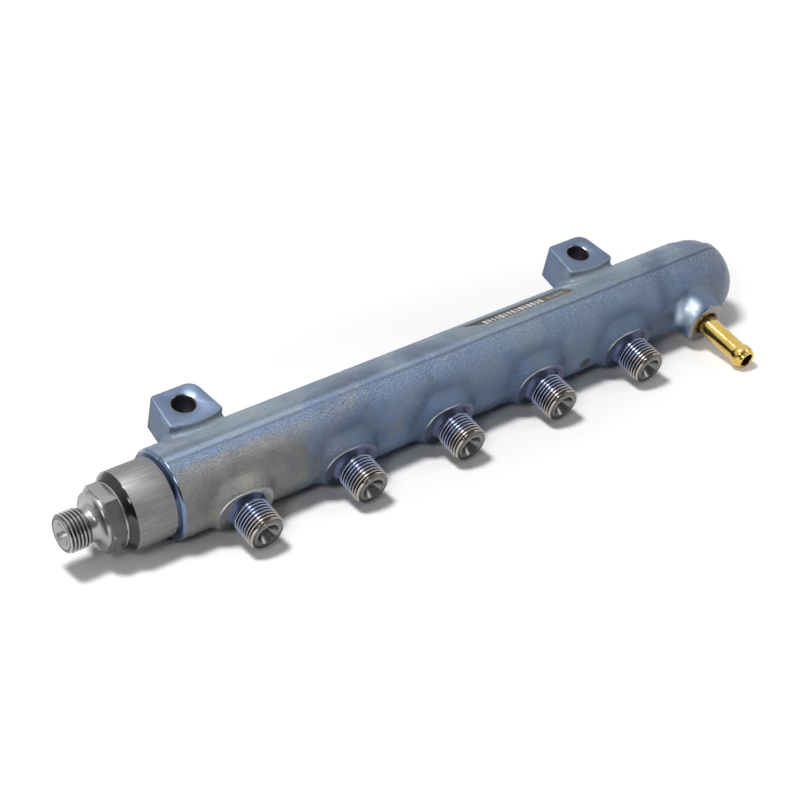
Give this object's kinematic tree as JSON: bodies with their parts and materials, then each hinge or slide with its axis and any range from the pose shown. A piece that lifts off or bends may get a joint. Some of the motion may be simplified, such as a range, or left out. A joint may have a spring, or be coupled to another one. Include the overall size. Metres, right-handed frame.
{
  "type": "fuel rail",
  "caption": "Forged high-pressure fuel rail with a row of threaded stubs, two bolt lugs, a screwed inlet fitting and a brass return nipple.",
  "frame": {"origin": "midway between the two bolt holes, on the plane of the lugs' seating faces", "axes": "+X along the rail from the inlet to the closed end, -Y the way the stubs point, +Z along the bolts, away from the engine"},
  "size_m": [0.3008, 0.0743, 0.0339],
  "materials": {
    "coated_steel": "satin",
    "turned_steel": "satin",
    "brass_tube": "satin"
  },
  "bodies": {
    "root": {"rail_body": "coated_steel", "inlet_fitting": "turned_steel", "return_nipple": "brass_tube"}
  },
  "joints": []
}
